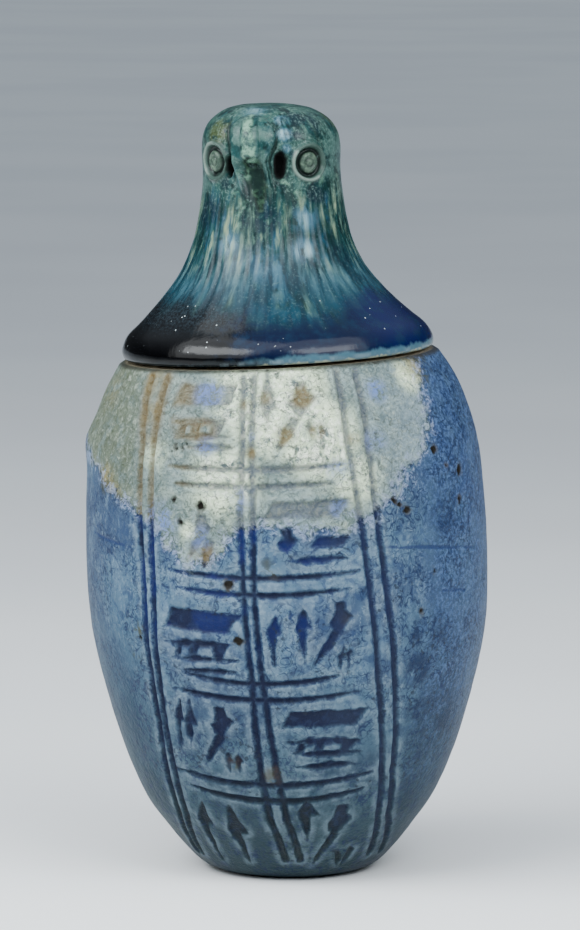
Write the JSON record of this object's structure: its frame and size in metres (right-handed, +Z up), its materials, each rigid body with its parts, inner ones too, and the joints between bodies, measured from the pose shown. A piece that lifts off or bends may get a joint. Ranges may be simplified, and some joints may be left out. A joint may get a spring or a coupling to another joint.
{
  "type": "falcon-headed canopic jar",
  "caption": "Egg-shaped glazed faience jar with a framed panel of shallow strokes, closed by a loose bell-shaped lid that carries a falcon's head.",
  "frame": {"origin": "middle of the flat foot, on the surface the jar stands on", "axes": "+Z up through the jar, -Y towards the front, where the beak and the panel of strokes face"},
  "size_m": [0.1306, 0.1306, 0.2496],
  "materials": {
    "pale_blue_faience": "satin, pitted",
    "green_blue_glaze": "gloss"
  },
  "bodies": {
    "root": {"jar_body": "pale_blue_faience", "falcon_head_lid": "green_blue_glaze"}
  },
  "joints": []
}
